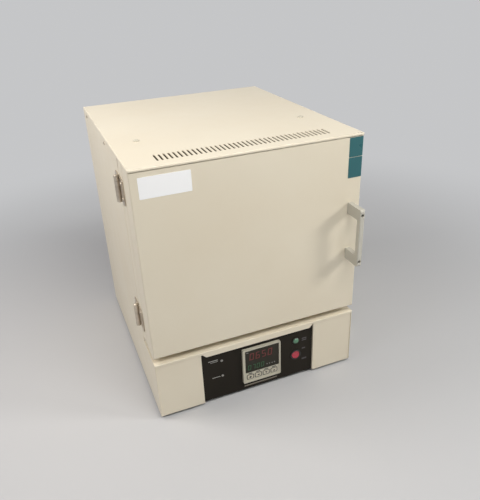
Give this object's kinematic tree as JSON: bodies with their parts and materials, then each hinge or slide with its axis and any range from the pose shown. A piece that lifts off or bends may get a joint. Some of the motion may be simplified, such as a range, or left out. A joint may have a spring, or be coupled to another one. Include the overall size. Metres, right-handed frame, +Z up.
{
  "type": "jewellery kiln",
  "caption": "Bench-top chamber kiln with a full-width side-hung door, a brick-lined electrically heated chamber, a recessed control panel with a square controller, and a bow handle.",
  "frame": {"origin": "on the bench top, under the middle of the whole kiln's bounding box", "axes": "+X to the kiln's right as seen from the front, +Y to the back (the door faces -Y), +Z up"},
  "size_m": [0.5034, 0.6296, 0.5952],
  "materials": {
    "casing_paint": "satin cream powder coat",
    "plated_steel": "zinc plated, satin",
    "foot_rubber": "matt black",
    "panel_black": "black, satin gloss",
    "refractory": "matt off-white firebrick",
    "ceramic_fibre": "matt white fibre board",
    "element_metal": "oxidised heating alloy",
    "glazed_bush": "white glaze",
    "brass": "satin",
    "cast_alloy": "satin",
    "bezel_plastic": "pale grey, fine texture",
    "black_plastic": "matt black",
    "display_lens": "smoked gloss",
    "key_plastic": "pale grey",
    "green_lens": "green, clear gloss",
    "red_plastic": "red, gloss",
    "indicator_lens": "unlit, gloss",
    "rope_seal": "woven glass rope",
    "handle_metal": "satin",
    "dark_screws": "blackened"
  },
  "bodies": {
    "cabinet": {"side_panel_left": "casing_paint", "side_panel_right": "casing_paint", "base_floor": "plated_steel", "feet": "foot_rubber", "shelf_tray": "casing_paint", "front_fascia": "casing_paint", "control_panel": "panel_black", "rear_panel": "casing_paint", "top_cover": "casing_paint", "casing_screws": "plated_steel", "front_frame": "casing_paint", "inner_case": "plated_steel", "hearth_block": "refractory", "roof_block": "refractory", "side_block_left": "refractory", "side_block_right": "refractory", "rear_block": "refractory", "backing_bottom": "ceramic_fibre", "backing_top": "ceramic_fibre", "backing_left": "ceramic_fibre", "backing_right": "ceramic_fibre", "backing_rear": "ceramic_fibre", "element_left": "element_metal", "element_right": "element_metal", "terminal_bushes": "glazed_bush", "element_terminals": "brass", "thermocouple": "element_metal", "thermocouple_head": "cast_alloy", "controller_bezel": "bezel_plastic", "controller_case": "black_plastic", "controller_lens": "display_lens", "pilot_lamp_bezel": "black_plastic", "pilot_lamp_lens": "green_lens", "switch_bezel": "panel_black", "indicators": "indicator_lens", "relay": "black_plastic", "heat_sink": "cast_alloy", "terminal_block": "key_plastic", "cable_gland": "black_plastic", "door_switch": "black_plastic", "catch_magnet": "black_plastic", "hinge_upper_fixed": "plated_steel", "hinge_lower_fixed": "plated_steel", "hinge_pins": "plated_steel"},
    "door": {"hinge_upper_moving": "plated_steel", "hinge_lower_moving": "plated_steel", "door_shell": "casing_paint", "door_inner_pan": "casing_paint", "door_insulation": "ceramic_fibre", "door_plug": "refractory", "door_seal": "rope_seal", "strike_plate": "plated_steel", "handle": "handle_metal", "handle_screws": "dark_screws"},
    "key_1": {"key_1": "key_plastic"},
    "key_2": {"key_2": "key_plastic"},
    "key_3": {"key_3": "key_plastic"},
    "key_4": {"key_4": "key_plastic"},
    "mains_rocker": {"switch_rocker": "red_plastic"},
    "interlock_plunger": {"switch_plunger": "key_plastic"}
  },
  "joints": [
    {"name": "door_hinge", "type": "hinge", "parent": "cabinet", "child": "door", "pos_m": [-0.2454, -0.1698, 0.37925], "axis": [0, 0, -1], "range_deg": [0, 170]},
    {"name": "key_1_press", "type": "slide", "parent": "cabinet", "child": "key_1", "axis": [0, 1, 0], "range_m": [0, 0.0008], "stiffness_N_per_m": 400, "springref_m": -0.0005},
    {"name": "key_2_press", "type": "slide", "parent": "cabinet", "child": "key_2", "axis": [0, 1, 0], "range_m": [0, 0.0008], "stiffness_N_per_m": 400, "springref_m": -0.0005},
    {"name": "key_3_press", "type": "slide", "parent": "cabinet", "child": "key_3", "axis": [0, 1, 0], "range_m": [0, 0.0008], "stiffness_N_per_m": 400, "springref_m": -0.0005},
    {"name": "key_4_press", "type": "slide", "parent": "cabinet", "child": "key_4", "axis": [0, 1, 0], "range_m": [0, 0.0008], "stiffness_N_per_m": 400, "springref_m": -0.0005},
    {"name": "mains_rocker_turn", "type": "hinge", "parent": "cabinet", "child": "mains_rocker", "pos_m": [0.1016, -0.2551, 0.0665], "axis": [1, 0, 0], "range_deg": [0, 18]},
    {"name": "interlock_plunger_slide", "type": "slide", "parent": "cabinet", "child": "interlock_plunger", "axis": [0, -1, 0], "range_m": [0, 0.0031]}
  ],
  "couplings": [
    {"joint": "interlock_plunger_slide", "follows": "door_hinge", "m_per_rad": 0.0010111}
  ]
}
